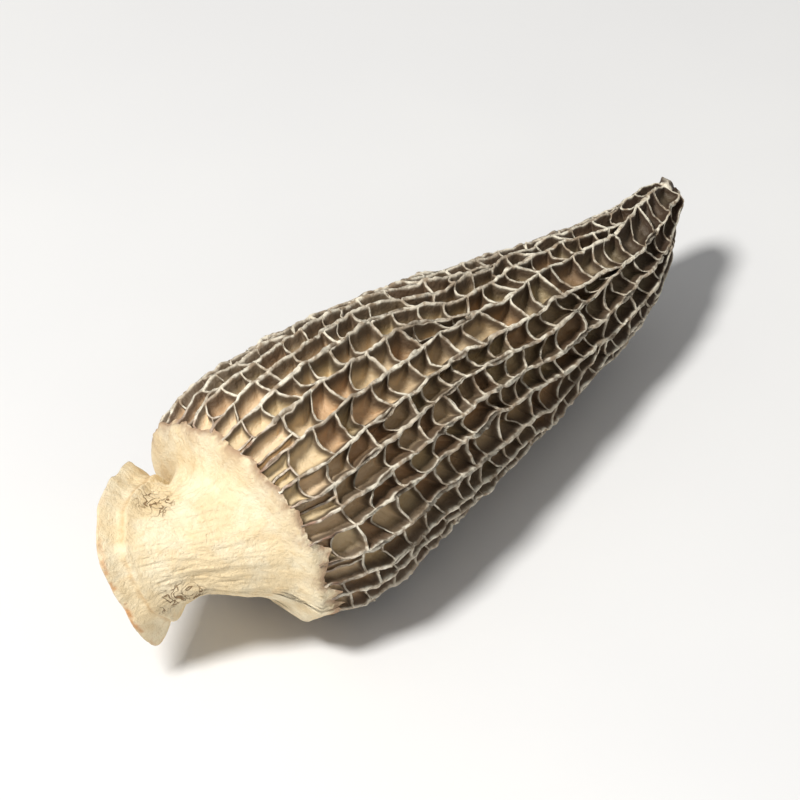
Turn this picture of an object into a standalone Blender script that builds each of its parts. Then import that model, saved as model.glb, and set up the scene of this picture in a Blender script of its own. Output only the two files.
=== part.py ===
"""A dried morel mushroom lying on its side: a hollow cap with a raised net of ribs round
deep pits, and the short hollow stem that it grew on, bent and flared to its cut foot.

Metres, +Z up, on the surface z = 0. The cap's axis runs along +X, from the ring where it
meets the stem (x = 0) to its tip.
"""

import math
import random

import bmesh
import bpy
from mathutils import Vector

# Driving sizes of the whole mushroom
CAP_LENGTH = 0.084
CAP_RADIUS = 0.0161
RING_RADIUS = 0.0132
STEM_LENGTH = 0.0133
NECK_RADIUS = 0.0061
FOOT_RADIUS = 0.0101
AXIS_HEIGHT = 0.0144
JOINT_GAP = 0.0003

# The ring where cap and stem meet leans: its far side is this much nearer the tip than its near side
RING_LEAN = 0.0050
RING_NEAR_SIDE = Vector((0.0, -0.61, 0.79))
RING_LEAN_REACH = 0.030
# Where the ring is drawn in or swells: (angle in degrees, share of its radius, width in degrees)
RING_SHAPE = ((262, -0.34, 32), (22, 0.11, 36))
RING_SHAPE_REACH = 0.014

# Outline of the cap's crests, and the hollow inside it: (distance from the ring, radius)
CAP_OUTLINE = (
    (0.0, RING_RADIUS),
    (0.0045, 0.0151),
    (0.009, CAP_RADIUS),
    (0.017, 0.0158),
    (0.029, 0.0146),
    (0.042, 0.0127),
    (0.053, 0.0107),
    (0.064, 0.0086),
    (0.071, 0.0068),
    (0.078, 0.0044),
    (0.082, 0.0026),
)
CAP_HOLLOW = (
    (0.0, 0.0072),
    (0.003, 0.0097),
    (0.008, 0.0114),
    (0.017, 0.0113),
    (0.029, 0.0100),
    (0.042, 0.0084),
    (0.053, 0.0066),
    (0.064, 0.0050),
    (0.071, 0.0034),
    (0.0745, 0.0012),
)
# How the cap's middle wanders off its axis: sideways to -Y, and down
CAP_LEAN_Y = ((0.0, 0.0), (0.030, 0.0), (0.055, -0.0010), (0.070, -0.0018), (CAP_LENGTH, -0.0002))
CAP_SAG_Z = (
    (0.0, 0.0),
    (0.018, -0.0001),
    (0.031, -0.0011),
    (0.042, -0.0021),
    (0.053, -0.0029),
    (0.064, -0.0032),
    (0.0706, -0.0029),
    (CAP_LENGTH, 0.0),
)
# Slow lobes that keep the cap from being round: (waves round it, waves along it, size, phase)
CAP_LOBES = ((2, 0.6, 0.022, 0.9), (3, 1.1, 0.020, 2.3), (5, 1.7, 0.012, 4.1))

# The net of ribs
RIBS = 30
RIBS_AT_TIP = 9
RIB_STRIDE = 19
COLUMN_WIDTH_BASE = 0.0034
COLUMN_WIDTH_TIP = 0.0025
FIRST_CLOSING = 0.015
CLOSING_LENGTH = 0.014
NET_TWIST = 1.5
NET_SWAY = 0.02
RIB_WAVE = 0.05
CROSS_STEP_BASE = 0.0078
CROSS_STEP_TIP = 0.0050
FIRST_CROSS = (0.0055, 0.0100)
CROSS_SLANT = 0.0016
CROSS_BOW = 0.20
CROSS_DIP = 0.0011
JUNCTION_GAP = 0.0011
PIT_DEPTH = (
    (0.0, 0.0008),
    (0.004, 0.0019),
    (0.009, 0.0028),
    (0.030, 0.0028),
    (0.053, 0.0024),
    (0.070, 0.0017),
    (0.082, 0.0010),
)
CREST_HALF_WIDTH = 0.00035
FLOOR_SHARE = 0.62
NET_SEED = 11
HOLLOW_SIDES = 24
HOLLOW_RINGS = 13

# The stem: outline of its outside and hollow, (distance along the stem, radius)
STEM_OUTSIDE = (
    (0.0, RING_RADIUS),
    (0.0005, 0.0124),
    (0.0011, 0.0107),
    (0.0020, 0.0090),
    (0.0032, 0.0078),
    (0.0048, 0.0069),
    (0.0068, NECK_RADIUS),
    (0.0086, 0.0064),
    (0.0105, 0.0075),
    (STEM_LENGTH - 0.0006, FOOT_RADIUS - 0.0002),
    (STEM_LENGTH, FOOT_RADIUS),
)
STEM_HOLLOW = (
    (0.0, 0.0072),
    (0.0020, 0.0066),
    (0.0048, 0.0057),
    (0.0068, 0.0050),
    (0.0088, 0.0053),
    (0.0108, 0.0060),
    (0.0122, 0.0073),
    (STEM_LENGTH, 0.0086),
)
# Where the middle of the foot is from the ring's middle, and the way that the foot looks
FOOT_CENTRE = Vector((-0.0104, 0.0065, -0.0006))
FOOT_HEADING = Vector((-0.42, 0.82, -0.38)).normalized()
# Where the foot's rim is drawn in or out, and where along the stem that starts
FOOT_SHAPE = ((185, -0.22, 38), (231, 0.05, 20))
FOOT_FLARE = 0.0075
STEM_SWING = 0.0044
# Between these places it turns from the way that the ring looks to the way that the foot does
STEM_BEND = (0.0012, 0.0102)
STEM_ARCH = 0.0010
STEM_SIDES = 40
STEM_OUTSIDE_RINGS = 13
STEM_HOLLOW_RINGS = 9
# Long wrinkles and flats on the stem: (waves round it, size, phase, twist along it)
STEM_WRINKLES = ((2, 0.00045, 0.5, 60), (3, 0.00030, 2.1, -90), (7, 0.00012, 1.1, 120))


def along(stations, x):
    """The value at x of a smooth curve through the stations, with no overshoot between them."""
    if x <= stations[0][0]:
        return stations[0][1]
    if x >= stations[-1][0]:
        return stations[-1][1]
    slopes = [(b[1] - a[1]) / (b[0] - a[0]) for a, b in zip(stations, stations[1:])]
    i = max(n for n, station in enumerate(stations[:-1]) if station[0] <= x)

    def tangent(n):
        if n == 0 or n == len(slopes):
            return slopes[min(n, len(slopes) - 1)]
        before, after = slopes[n - 1], slopes[n]
        return 0.0 if before * after <= 0 else 2 * before * after / (before + after)

    (x0, y0), (x1, y1) = stations[i], stations[i + 1]
    width = x1 - x0
    t = (x - x0) / width
    return (
        y0 * (1 + 2 * t) * (1 - t) ** 2
        + y1 * t * t * (3 - 2 * t)
        + tangent(i) * width * t * (1 - t) ** 2
        - tangent(i + 1) * width * t * t * (1 - t)
    )


def bulge(shape, angle):
    """The sum of a shape's bulges at this angle."""
    total = 0.0
    for middle, size, width in shape:
        away = (math.degrees(angle) - middle + 180) % 360 - 180
        total += size * math.exp(-((away / width) ** 2))
    return total


def ring_lean(x, across):
    """How far a point at this place across the axis is moved to the tip by the ring's lean."""
    fade = max(0.0, 1 - x / RING_LEAN_REACH)
    return RING_LEAN / 2 * (1 - across.dot(RING_NEAR_SIDE) / RING_RADIUS) * fade * fade * (3 - 2 * fade)


def ring_radius(x, angle):
    """The cap's or the stem's radius at x from the ring, as a share of what it would be if round."""
    fade = max(0.0, 1 - abs(x) / RING_SHAPE_REACH)
    return 1 + bulge(RING_SHAPE, angle) * fade * fade


def cap_point(x, angle, outline, drop=0.0):
    """A point on the cap's outline or hollow, at an angle round the axis from +Y, sunk in by drop."""
    share = x / CAP_LENGTH
    lobes = sum(
        size * math.sin(waves * angle + 2 * math.pi * turns * share + phase)
        for waves, turns, size, phase in CAP_LOBES
    )
    fade = min(1.0, x / 0.012)
    radius = along(outline, x) * (1 + fade * lobes) * ring_radius(x, angle) - drop
    across = radius * Vector((0.0, math.cos(angle), math.sin(angle)))
    return Vector((x + ring_lean(x, across), 0.0, 0.0)) + cap_middle(x) + across


def cap_middle(x):
    """The offset of the cap's middle at x, sideways and up."""
    return Vector((0.0, along(CAP_LEAN_Y, x), AXIS_HEIGHT + along(CAP_SAG_Z, x)))


class Net:
    """Ribs that run from the ring to the tip, closing up as the cap narrows, and the cross ribs
    between them. A junction is (rib, x), and a column lies between rib k and rib k + 1."""

    start = JOINT_GAP / 2
    end = CAP_OUTLINE[-1][0]

    def __init__(self):
        self.draw = random.Random(NET_SEED)
        self.closes = self.closing_places()
        self.widths = [self.draw.uniform(0.78, 1.26) for _ in range(RIBS)]
        self.waves = [
            (self.draw.uniform(0.016, 0.034), self.draw.uniform(0, 2 * math.pi)) for _ in range(RIBS)
        ]
        self.middle = None
        self.angles(self.start)
        self.crossings = [self.cross_ribs(k) for k in range(RIBS)]
        self.join_near_junctions()

    def closing_places(self):
        """Where each column closes, so that those left keep their natural width as the cap narrows."""
        closes = [math.inf] * RIBS
        order = [(i * RIB_STRIDE) % RIBS for i in range(RIBS - RIBS_AT_TIP)]
        x = FIRST_CLOSING
        while order and x < self.end - CLOSING_LENGTH / 4:
            share = x / CAP_LENGTH
            width = COLUMN_WIDTH_BASE + (COLUMN_WIDTH_TIP - COLUMN_WIDTH_BASE) * share
            wanted = 2 * math.pi * along(CAP_OUTLINE, x) / width
            if wanted < len(order) + RIBS_AT_TIP - 0.5:
                closes[order.pop(0)] = round(x, 6)
            x += 0.0002
        return closes

    def angles(self, x):
        """The angle of every rib at x."""
        widths = []
        for close, width, (length, phase) in zip(self.closes, self.widths, self.waves):
            opening = math.sin(math.pi / 2 * min(1.0, max(0.0, (close - x) / CLOSING_LENGTH)))
            widths.append(width * opening * (1 + RIB_WAVE * math.sin(2 * math.pi * x / length + phase)))
        turns = [2 * math.pi * sum(widths[:k]) / sum(widths) for k in range(RIBS)]
        # Turned so that the ribs on the whole run straight, whichever columns have closed
        middle = sum(turns) / RIBS
        if self.middle is None:
            self.middle = middle
        turn = self.middle - middle + NET_TWIST * x + NET_SWAY * math.sin(2 * math.pi * x / 0.034)
        return [place + turn for place in turns]

    def rib_at(self, k, x):
        """The rib that rib k has run into by x."""
        k %= RIBS
        while x >= self.closes[k - 1]:
            k = (k - 1) % RIBS
        return k

    def cross_ribs(self, k):
        """[(x on rib k, x on rib k + 1, bow)] of column k's cross ribs, from the ring to the tip."""
        found = []
        x = self.start + self.draw.uniform(*FIRST_CROSS)
        stop = min(self.closes[k], self.end)
        while True:
            share = x / CAP_LENGTH
            step = CROSS_STEP_BASE + (CROSS_STEP_TIP - CROSS_STEP_BASE) * share
            step *= self.draw.uniform(0.8, 1.2)
            slant = CROSS_SLANT * self.draw.uniform(-0.5, 0.5)
            bow = CROSS_BOW * self.draw.uniform(-0.6, 1.0)
            if x > stop - 0.6 * step:
                return found
            found.append([x - slant, x + slant, bow])
            x += step

    def join_near_junctions(self):
        """Moves junctions that nearly meet on a rib to one place, where the cross ribs then meet."""
        ends = {}
        for k, crossings in enumerate(self.crossings):
            for crossing in crossings:
                for side in (0, 1):
                    ends.setdefault(self.rib_at(k + side, crossing[side]), []).append((crossing, side))
        fixed = {}
        for k, close in enumerate(self.closes):
            if close < math.inf:
                fixed.setdefault(self.rib_at(k, close), []).append(close)
        for rib, found in ends.items():
            found.sort(key=lambda end: end[0][end[1]])
            while found:
                first = found[0][0][found[0][1]]
                group = [end for end in found if end[0][end[1]] - first < JUNCTION_GAP]
                found = found[len(group):]
                place = sum(crossing[side] for crossing, side in group) / len(group)
                for close in fixed.get(rib, []):
                    if abs(close - place) < JUNCTION_GAP:
                        place = close
                for crossing, side in group:
                    crossing[side] = place

    def junctions(self):
        """Every (rib, x) where something meets a rib, apart from its two ends."""
        found = {(self.rib_at(k, close), close) for k, close in enumerate(self.closes) if close < math.inf}
        for k, crossings in enumerate(self.crossings):
            for crossing in crossings:
                found |= {(self.rib_at(k + side, crossing[side]), crossing[side]) for side in (0, 1)}
        return found

    def cells(self):
        """The pits, each the list of its corners in order: a junction (rib, x), or a cross rib's middle
        (column, x on one rib, x on the other, bow)."""
        junctions = self.junctions()
        found = []
        for k in range(RIBS):
            stop = min(self.closes[k], self.end)
            rungs = [[self.start, self.start, 0.0], *self.crossings[k], [stop, stop, 0.0]]
            for low, high in zip(rungs, rungs[1:]):
                left, right = (
                    [
                        (rib, x)
                        for rib, x in sorted(
                            junctions
                            | {(self.rib_at(k + side, x), x) for x in (low[side], high[side])},
                            key=lambda junction: junction[1],
                        )
                        if low[side] <= x <= high[side] and self.rib_at(k + side, x) == rib
                    ]
                    for side in (0, 1)
                )
                loop = [*left]
                if high[0] < self.closes[k]:
                    loop += [(k, *high)] if high[0] < self.end else []
                    loop += reversed(right)
                else:
                    loop += reversed(right[:-1])
                loop.append((k, *low))
                found.append(loop)
        return found

    def place(self, corner, dipped=True):
        """(x, angle, drop) of a cell's corner."""
        if len(corner) == 2:
            rib, x = corner
            return x, self.angles(x)[rib], 0.0
        k, x_left, x_right, bow = corner
        left = self.angles(x_left)[k]
        right = self.angles(x_right)[(k + 1) % RIBS] + (2 * math.pi if k + 1 == RIBS else 0.0)
        x = (x_left + x_right) / 2
        on_the_ring = x <= self.start
        if not on_the_ring:
            x -= bow * (right - left) * along(CAP_OUTLINE, x)
        drop = 0.0 if on_the_ring or not dipped else min(CROSS_DIP, 0.5 * along(PIT_DEPTH, x))
        return x, (left + right) / 2, drop


def finish(name, bm, colour, roughness):
    """Makes an object of the closed mesh, smooth with sharp crests, in its own material."""
    bmesh.ops.recalc_face_normals(bm, faces=bm.faces)
    if bm.calc_volume(signed=True) < 0:
        bmesh.ops.reverse_faces(bm, faces=bm.faces)
    bmesh.ops.triangulate(bm, faces=bm.faces)
    mesh = bpy.data.meshes.new(name)
    bm.to_mesh(mesh)
    bm.free()
    mesh.shade_smooth()
    mesh.set_sharp_from_angle(angle=math.radians(50))
    material = bpy.data.materials.new(name)
    material.use_nodes = True
    shader = material.node_tree.nodes["Principled BSDF"]
    shader.inputs["Base Color"].default_value = (*colour, 1.0)
    shader.inputs["Roughness"].default_value = roughness
    shader.inputs["Metallic"].default_value = 0.0
    mesh.materials.append(material)
    obj = bpy.data.objects.new(name, mesh)
    bpy.context.scene.collection.objects.link(obj)
    return obj


def on_surface(point):
    """The point, pressed up to the surface that the mushroom lies on if it would be below it."""
    return Vector((point.x, point.y, max(point.z, 0.0)))


def add_pit(bm, crest, rim, centre, inward, depth):
    """Sinks one pit: from the crest's loop, over the rib's flat top, down its side to the floor."""
    around = len(crest)
    perimeter = sum((a - b).length for a, b in zip(rim, rim[1:] + rim[:1]))
    area = sum(((a - centre).cross(b - centre)).length / 2 for a, b in zip(rim, rim[1:] + rim[:1]))
    top_share = max(0.72, 1 - CREST_HALF_WIDTH * perimeter / (2 * area))
    top, floor = [], []
    for vertex, point in zip(crest, rim):
        top.append(bm.verts.new(on_surface(centre.lerp(vertex.co, top_share))))
        floor.append(bm.verts.new(centre.lerp(point, FLOOR_SHARE) + 0.88 * depth * inward))
    middle = bm.verts.new(centre + depth * inward)
    for i in range(around):
        j = (i + 1) % around
        bm.faces.new((crest[i], crest[j], top[j], top[i]))
        bm.faces.new((top[i], top[j], floor[j], floor[i]))
        bm.faces.new((floor[i], floor[j], middle))


def make_cap():
    """The cap: its net of ribs and pits outside, its hollow inside, open at the ring."""
    net = Net()
    bm = bmesh.new()
    vertices = {}

    def vertex_of(corner):
        if corner not in vertices:
            x, angle, drop = net.place(corner)
            vertices[corner] = bm.verts.new(on_surface(cap_point(x, angle, CAP_OUTLINE, drop)))
        return vertices[corner]

    for loop in net.cells():
        crest = [vertex_of(corner) for corner in loop]
        places = [net.place(corner, dipped=False) for corner in loop]
        rim = [cap_point(*place[:2], CAP_OUTLINE) for place in places]
        centre = sum(rim, Vector()) / len(rim)
        middle_x = sum(place[0] for place in places) / len(places)
        axis = Vector((centre.x, 0.0, 0.0)) + cap_middle(middle_x)
        add_pit(bm, crest, rim, centre, (axis - centre).normalized(), along(PIT_DEPTH, middle_x))

    # The knob at the tip, on the last junction of each rib that gets there
    tip = [vertex for corner, vertex in vertices.items() if len(corner) == 2 and corner[1] == net.end]
    tip.sort(key=lambda vertex: math.atan2(
        vertex.co.z - AXIS_HEIGHT - along(CAP_SAG_Z, net.end),
        vertex.co.y - along(CAP_LEAN_Y, net.end),
    ))
    point = bm.verts.new(cap_point(CAP_LENGTH, 0.0, ((0.0, 0.0), (CAP_LENGTH, 0.0))))
    for i, vertex in enumerate(tip):
        bm.faces.new((vertex, tip[(i + 1) % len(tip)], point))

    # The hollow, from the ring to its blind end, and the flat ring face that joins it to the outside
    rings = []
    last = CAP_HOLLOW[-1][0]
    for i in range(HOLLOW_RINGS):
        x = net.start + (last - net.start) * i / (HOLLOW_RINGS - 1)
        rings.append([
            bm.verts.new(cap_point(x, 2 * math.pi * j / HOLLOW_SIDES, CAP_HOLLOW))
            for j in range(HOLLOW_SIDES)
        ])
    for ring, following in zip(rings, rings[1:]):
        for j in range(HOLLOW_SIDES):
            k = (j + 1) % HOLLOW_SIDES
            bm.faces.new((ring[j], ring[k], following[k], following[j]))
    bm.faces.new(rings[-1])
    open_edges = [edge for edge in bm.edges if edge.is_boundary]
    bmesh.ops.bridge_loops(bm, edges=open_edges)
    return finish("cap", bm, (0.145, 0.098, 0.058), 0.75)


def stem_point(s, angle, radius):
    """A point at distance s down the bent stem from the ring, at an angle round it."""
    ring_heading = Vector((-1.0, 0.0, 0.0)) - RING_LEAN / 2 / RING_RADIUS * RING_NEAR_SIDE
    ring_heading.normalize()
    start = Vector((RING_LEAN / 2 - JOINT_GAP / 2, 0.0, AXIS_HEIGHT))
    end = start + FOOT_CENTRE
    bends = (start, start + STEM_SWING * ring_heading, end - STEM_SWING * FOOT_HEADING, end)
    t = s / STEM_LENGTH
    centre = (
        (1 - t) ** 3 * bends[0]
        + 3 * t * (1 - t) ** 2 * bends[1]
        + 3 * t * t * (1 - t) * bends[2]
        + t ** 3 * bends[3]
    )
    centre.z += STEM_ARCH * (4 * t * (1 - t)) ** 2
    bent = min(1.0, max(0.0, (s - STEM_BEND[0]) / (STEM_BEND[1] - STEM_BEND[0])))
    heading = ring_heading.slerp(FOOT_HEADING, bent)
    sideways = heading.cross(Vector((0.0, 0.0, 1.0))).normalized()
    upward = sideways.cross(heading)
    fade = min(1.0, s / 0.004)
    flare = max(0.0, (s - FOOT_FLARE) / (STEM_LENGTH - FOOT_FLARE))
    radius *= ring_radius(s, angle) + bulge(FOOT_SHAPE, angle) * flare * flare
    radius += fade * sum(
        size * math.sin(waves * angle + phase + twist * s) for waves, size, phase, twist in STEM_WRINKLES
    )
    return centre + radius * (math.cos(angle) * sideways + math.sin(angle) * upward)


def make_stem():
    """The stem: a flared, bent tube with wrinkles, open at the ring and at the foot."""
    bm = bmesh.new()
    lengths = [
        (STEM_OUTSIDE, STEM_LENGTH * (i / (STEM_OUTSIDE_RINGS - 1)) ** 1.25) for i in range(STEM_OUTSIDE_RINGS)
    ] + [
        (STEM_HOLLOW, STEM_LENGTH * (1 - i / (STEM_HOLLOW_RINGS - 1))) for i in range(STEM_HOLLOW_RINGS)
    ]
    rings = [
        [
            bm.verts.new(stem_point(s, 2 * math.pi * j / STEM_SIDES, along(outline, s)))
            for j in range(STEM_SIDES)
        ]
        for outline, s in lengths
    ]
    for ring, following in zip(rings, rings[1:] + rings[:1]):
        for j in range(STEM_SIDES):
            k = (j + 1) % STEM_SIDES
            bm.faces.new((ring[j], ring[k], following[k], following[j]))
    return finish("stem", bm, (0.78, 0.62, 0.40), 0.8)


def main():
    """Clears the scene and builds the mushroom in it."""
    for obj in list(bpy.data.objects):
        bpy.data.objects.remove(obj)
    parts = [make_cap(), make_stem()]
    # The frame's origin: under the middle of the whole mushroom, on the surface it lies on
    corners = [Vector(corner) for obj in parts for corner in obj.bound_box]
    for obj in parts:
        for axis in (0, 1):
            places = [corner[axis] for corner in corners]
            obj.location[axis] = -(min(places) + max(places)) / 2


main()
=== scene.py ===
"""The finish of the dried morel: every pit and rib of its net, its hollow and its pale stem."""

import math
import random

import bpy
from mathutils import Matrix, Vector, noise


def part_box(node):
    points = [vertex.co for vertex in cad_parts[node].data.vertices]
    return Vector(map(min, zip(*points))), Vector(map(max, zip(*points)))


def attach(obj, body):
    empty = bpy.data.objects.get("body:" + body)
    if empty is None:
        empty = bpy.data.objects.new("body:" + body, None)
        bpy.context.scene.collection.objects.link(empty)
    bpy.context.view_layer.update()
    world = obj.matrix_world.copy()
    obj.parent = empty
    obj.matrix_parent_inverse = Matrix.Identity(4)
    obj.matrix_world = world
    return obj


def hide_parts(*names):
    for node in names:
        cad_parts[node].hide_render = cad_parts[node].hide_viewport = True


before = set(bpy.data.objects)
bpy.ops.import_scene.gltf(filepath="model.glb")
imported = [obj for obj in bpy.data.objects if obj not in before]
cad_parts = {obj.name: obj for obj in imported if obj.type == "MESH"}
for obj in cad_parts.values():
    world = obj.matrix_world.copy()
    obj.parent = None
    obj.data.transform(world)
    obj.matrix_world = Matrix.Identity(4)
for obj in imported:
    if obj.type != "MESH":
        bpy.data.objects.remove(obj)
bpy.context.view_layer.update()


# Camera, floor and light
# The mushroom is seen from above its stem, slightly turned, on a pale table under a soft light
# high above its stem's end, with a weaker one in front that opens the shadows.

VIEW_AZIMUTH = math.radians(-51)
VIEW_ELEVATION = math.radians(39.4)
VIEW_DISTANCE = 0.62
VIEW_WIDTH = 0.0905
VIEW_TARGET = Vector((-0.0136, -0.0089, 0.0262))

camera_data = bpy.data.cameras.new("camera")
camera = bpy.data.objects.new("camera", camera_data)
bpy.context.scene.collection.objects.link(camera)
towards_camera = Vector((
    math.sin(VIEW_AZIMUTH) * math.cos(VIEW_ELEVATION),
    -math.cos(VIEW_AZIMUTH) * math.cos(VIEW_ELEVATION),
    math.sin(VIEW_ELEVATION),
))
camera.location = VIEW_TARGET + VIEW_DISTANCE * towards_camera
camera.rotation_euler = towards_camera.to_track_quat("Z", "Y").to_euler()
camera_data.lens = camera_data.sensor_width * VIEW_DISTANCE / VIEW_WIDTH
camera_data.clip_start = 0.01
bpy.context.scene.camera = camera


class Value:
    """A shader's number that takes part in sums: each operator adds a Math node."""

    def __init__(self, finish, socket):
        self.finish = finish
        self.socket = socket

    def combine(self, operation, *values):
        node = self.finish.node("ShaderNodeMath", {"operation": operation}, dict(enumerate(values)))
        return Value(self.finish, node.outputs[0])

    def __add__(self, other):
        return self.combine("ADD", self, other)

    def __sub__(self, other):
        return self.combine("SUBTRACT", self, other)

    def __rsub__(self, other):
        return self.combine("SUBTRACT", other, self)

    def __mul__(self, other):
        return self.combine("MULTIPLY", self, other)

    __radd__ = __add__
    __rmul__ = __mul__

    def size(self):
        """The number without its sign."""
        return self.combine("ABSOLUTE", self)

    def step(self, low, high):
        """0 below low, 1 above high and a smooth rise between them."""
        node = self.finish.node(
            "ShaderNodeMapRange",
            {"interpolation_type": "SMOOTHSTEP"},
            {"Value": self, "From Min": low, "From Max": high},
        )
        return Value(self.finish, node.outputs["Result"])


class Finish:
    """A material, and the nodes that give its colour, roughness and relief."""

    def __init__(self, name):
        self.material = bpy.data.materials.new(name)
        self.material.use_nodes = True
        self.tree = self.material.node_tree
        self.shader = self.tree.nodes["Principled BSDF"]

    def node(self, kind, settings, inputs):
        """Adds a node: its settings first, then its sockets' values or links."""
        node = self.tree.nodes.new(kind)
        for name, setting in settings.items():
            setattr(node, name, setting)
        self.connect(node, inputs)
        return node

    def connect(self, node, inputs):
        """Sets a node's sockets to values, or links them."""
        for name, value in inputs.items():
            if isinstance(value, Value):
                value = value.socket
            if isinstance(value, bpy.types.NodeSocket):
                self.tree.links.new(value, node.inputs[name])
            else:
                node.inputs[name].default_value = value

    def place(self):
        """The place on the piece, in metres."""
        return self.node("ShaderNodeTexCoord", {}, {}).outputs["Object"]

    def coordinate(self, axis):
        """The place along one axis."""
        split = self.node("ShaderNodeSeparateXYZ", {}, {0: self.place()})
        return Value(self, split.outputs[axis])

    def attribute(self, name):
        """A fact that the mesh keeps for each of its points."""
        node = self.node("ShaderNodeAttribute", {"attribute_name": name}, {})
        return Value(self, node.outputs["Fac"])

    def grain(self, size, detail=3.0, roughness=0.5, warp=0.0):
        """Cloudy noise from 0 to 1, with lumps of this size in metres."""
        node = self.node("ShaderNodeTexNoise", {}, {
            "Vector": self.place(),
            "Scale": 1 / size,
            "Detail": detail,
            "Roughness": roughness,
            "Distortion": warp,
        })
        return Value(self, node.outputs["Fac"])

    def mix(self, amount, first, second):
        """A colour between two colours."""
        node = self.node("ShaderNodeMix", {"data_type": "RGBA"}, {
            0: amount,
            6: first if isinstance(first, bpy.types.NodeSocket) else (*first, 1.0),
            7: second if isinstance(second, bpy.types.NodeSocket) else (*second, 1.0),
        })
        return node.outputs[2]

    def relief(self, height, depth):
        """A bump of this depth in metres, for the shader's Normal."""
        node = self.node("ShaderNodeBump", {}, {"Height": height, "Distance": depth, "Strength": 1.0})
        return node.outputs["Normal"]


LIGHT_TARGET = Vector((0, 0, 0.01))
ROOM_LIGHT = 0.28


def light(name, place, size, power, colour):
    """A round soft light that looks at the mushroom."""
    data = bpy.data.lights.new(name, "AREA")
    data.shape = "DISK"
    data.size = size
    data.energy = power
    data.color = colour
    lamp = bpy.data.objects.new(name, data)
    lamp.location = place
    lamp.rotation_euler = (Vector(place) - LIGHT_TARGET).to_track_quat("Z", "Y").to_euler()
    bpy.context.scene.collection.objects.link(lamp)


light("light above", (-0.36, 0.04, 0.60), 0.15, 5.1, (1.0, 0.985, 0.96))
light("light in front", (-0.55, -0.55, 0.35), 0.50, 0.6, (1.0, 0.99, 0.98))

world = bpy.data.worlds.new("room")
world.use_nodes = True
world.node_tree.nodes["Background"].inputs["Color"].default_value = (1.0, 1.0, 1.0, 1.0)
world.node_tree.nodes["Background"].inputs["Strength"].default_value = ROOM_LIGHT
bpy.context.scene.world = world
bpy.context.scene.view_settings.view_transform = "Standard"

TABLE_HALF = 1.6
TABLE_GREY = (0.80, 0.80, 0.80)
TABLE_PALE = (0.82, 0.82, 0.815)
table_mesh = bpy.data.meshes.new("table")
table_mesh.from_pydata(
    [(x * TABLE_HALF, y * TABLE_HALF, 0) for x, y in ((-1, -1), (1, -1), (1, 1), (-1, 1))],
    [],
    [(0, 1, 2, 3)],
)
table = bpy.data.objects.new("table", table_mesh)
bpy.context.scene.collection.objects.link(table)
table_finish = Finish("pale table")
table_finish.connect(table_finish.shader, {
    "Base Color": table_finish.mix(table_finish.grain(0.05).step(0.3, 0.7), TABLE_GREY, TABLE_PALE),
    "Roughness": 0.7,
})
table_mesh.materials.append(table_finish.material)


# The cap
# One hollow, leathery body whose outside is drawn up into thin ribs: long ones that run from the
# ring to the tip and run together as the cap narrows, and low ones across, which hang between
# them like hammocks and part the deep pits.

CAP_LENGTH = 0.084
CAP_RADIUS = 0.0161
RING_RADIUS = 0.0132
AXIS_HEIGHT = 0.0144
# Between the cap's flesh and the stem's
JOINT_GAP = 0.0003
# The ring stands askew: its near side is RING_LEAN nearer the foot than its far side, and this
# fades out over RING_LEAN_REACH
RING_LEAN = 0.0050
RING_NEAR_SIDE = Vector((0.0, -0.61, 0.79))
RING_LEAN_REACH = 0.030
# Where the ring is drawn in or swells: (angle in degrees, share of its radius, width in degrees)
RING_SHAPE = ((262, -0.34, 32), (22, 0.11, 36))
RING_SHAPE_REACH = 0.014
# (distance from the ring, radius)
CAP_OUTLINE = (
    (0.0, RING_RADIUS),
    (0.0045, 0.0151),
    (0.009, CAP_RADIUS),
    (0.017, 0.0158),
    (0.029, 0.0146),
    (0.042, 0.0127),
    (0.053, 0.0107),
    (0.064, 0.0086),
    (0.071, 0.0068),
    (0.078, 0.0044),
    (0.082, 0.0026),
)
# How far the axis bends sideways and sags: (distance from the ring, how far)
CAP_LEAN_Y = ((0.0, 0.0), (0.030, 0.0), (0.055, -0.0010), (0.070, -0.0018), (CAP_LENGTH, -0.0002))
CAP_SAG_Z = (
    (0.0, 0.0),
    (0.018, -0.0001),
    (0.031, -0.0011),
    (0.042, -0.0021),
    (0.053, -0.0029),
    (0.064, -0.0032),
    (0.0706, -0.0029),
    (CAP_LENGTH, 0.0),
)
# (lobes round the cap, turns from ring to tip, share of the radius, phase)
CAP_LOBES = ((2, 0.6, 0.022, 0.9), (3, 1.1, 0.020, 2.3), (5, 1.7, 0.012, 4.1))
CAP_LOBES_START = 0.012
RING_ASIDE = 0.00003
ring_middle = Vector((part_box("cap")[1][0] - CAP_LENGTH, RING_ASIDE, AXIS_HEIGHT))

# The net: long ribs, of which pairs run together one after another, each RIB_STRIDE ribs further on
RIBS = 30
RIBS_AT_TIP = 9
RIB_STRIDE = 19
RIB_SPREAD = (0.78, 1.26)
COLUMN_WIDTH_BASE = 0.0034
COLUMN_WIDTH_TIP = 0.0025
FIRST_CLOSING = 0.015
CLOSING_LENGTH = 0.014
CLOSING_STEP = 0.0002
NET_TWIST = 1.5
NET_SWAY = 0.02
NET_SWAY_LENGTH = 0.034
RIB_WAVE = 0.05
RIB_WAVE_LENGTH = (0.016, 0.034)
# Cross ribs
CROSS_STEP_BASE = 0.0078
CROSS_STEP_TIP = 0.0050
FIRST_CROSS = (0.0055, 0.0100)
CROSS_SLANT = 0.0016
CROSS_BOW = 0.20
JUNCTION_GAP = 0.0011
NET_SEED = 11
# (distance from the ring, depth)
PIT_DEPTH = (
    (0.0, 0.0009),
    (0.003, 0.0021),
    (0.009, 0.0033),
    (0.030, 0.0035),
    (0.053, 0.0031),
    (0.070, 0.0022),
    (0.082, 0.0012),
)

# Finer ribs than the solid's: how far apart the cross ribs of a column are at the ring and the tip
FINE_STEP_BASE = 0.0039
FINE_STEP_TIP = 0.0026
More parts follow.
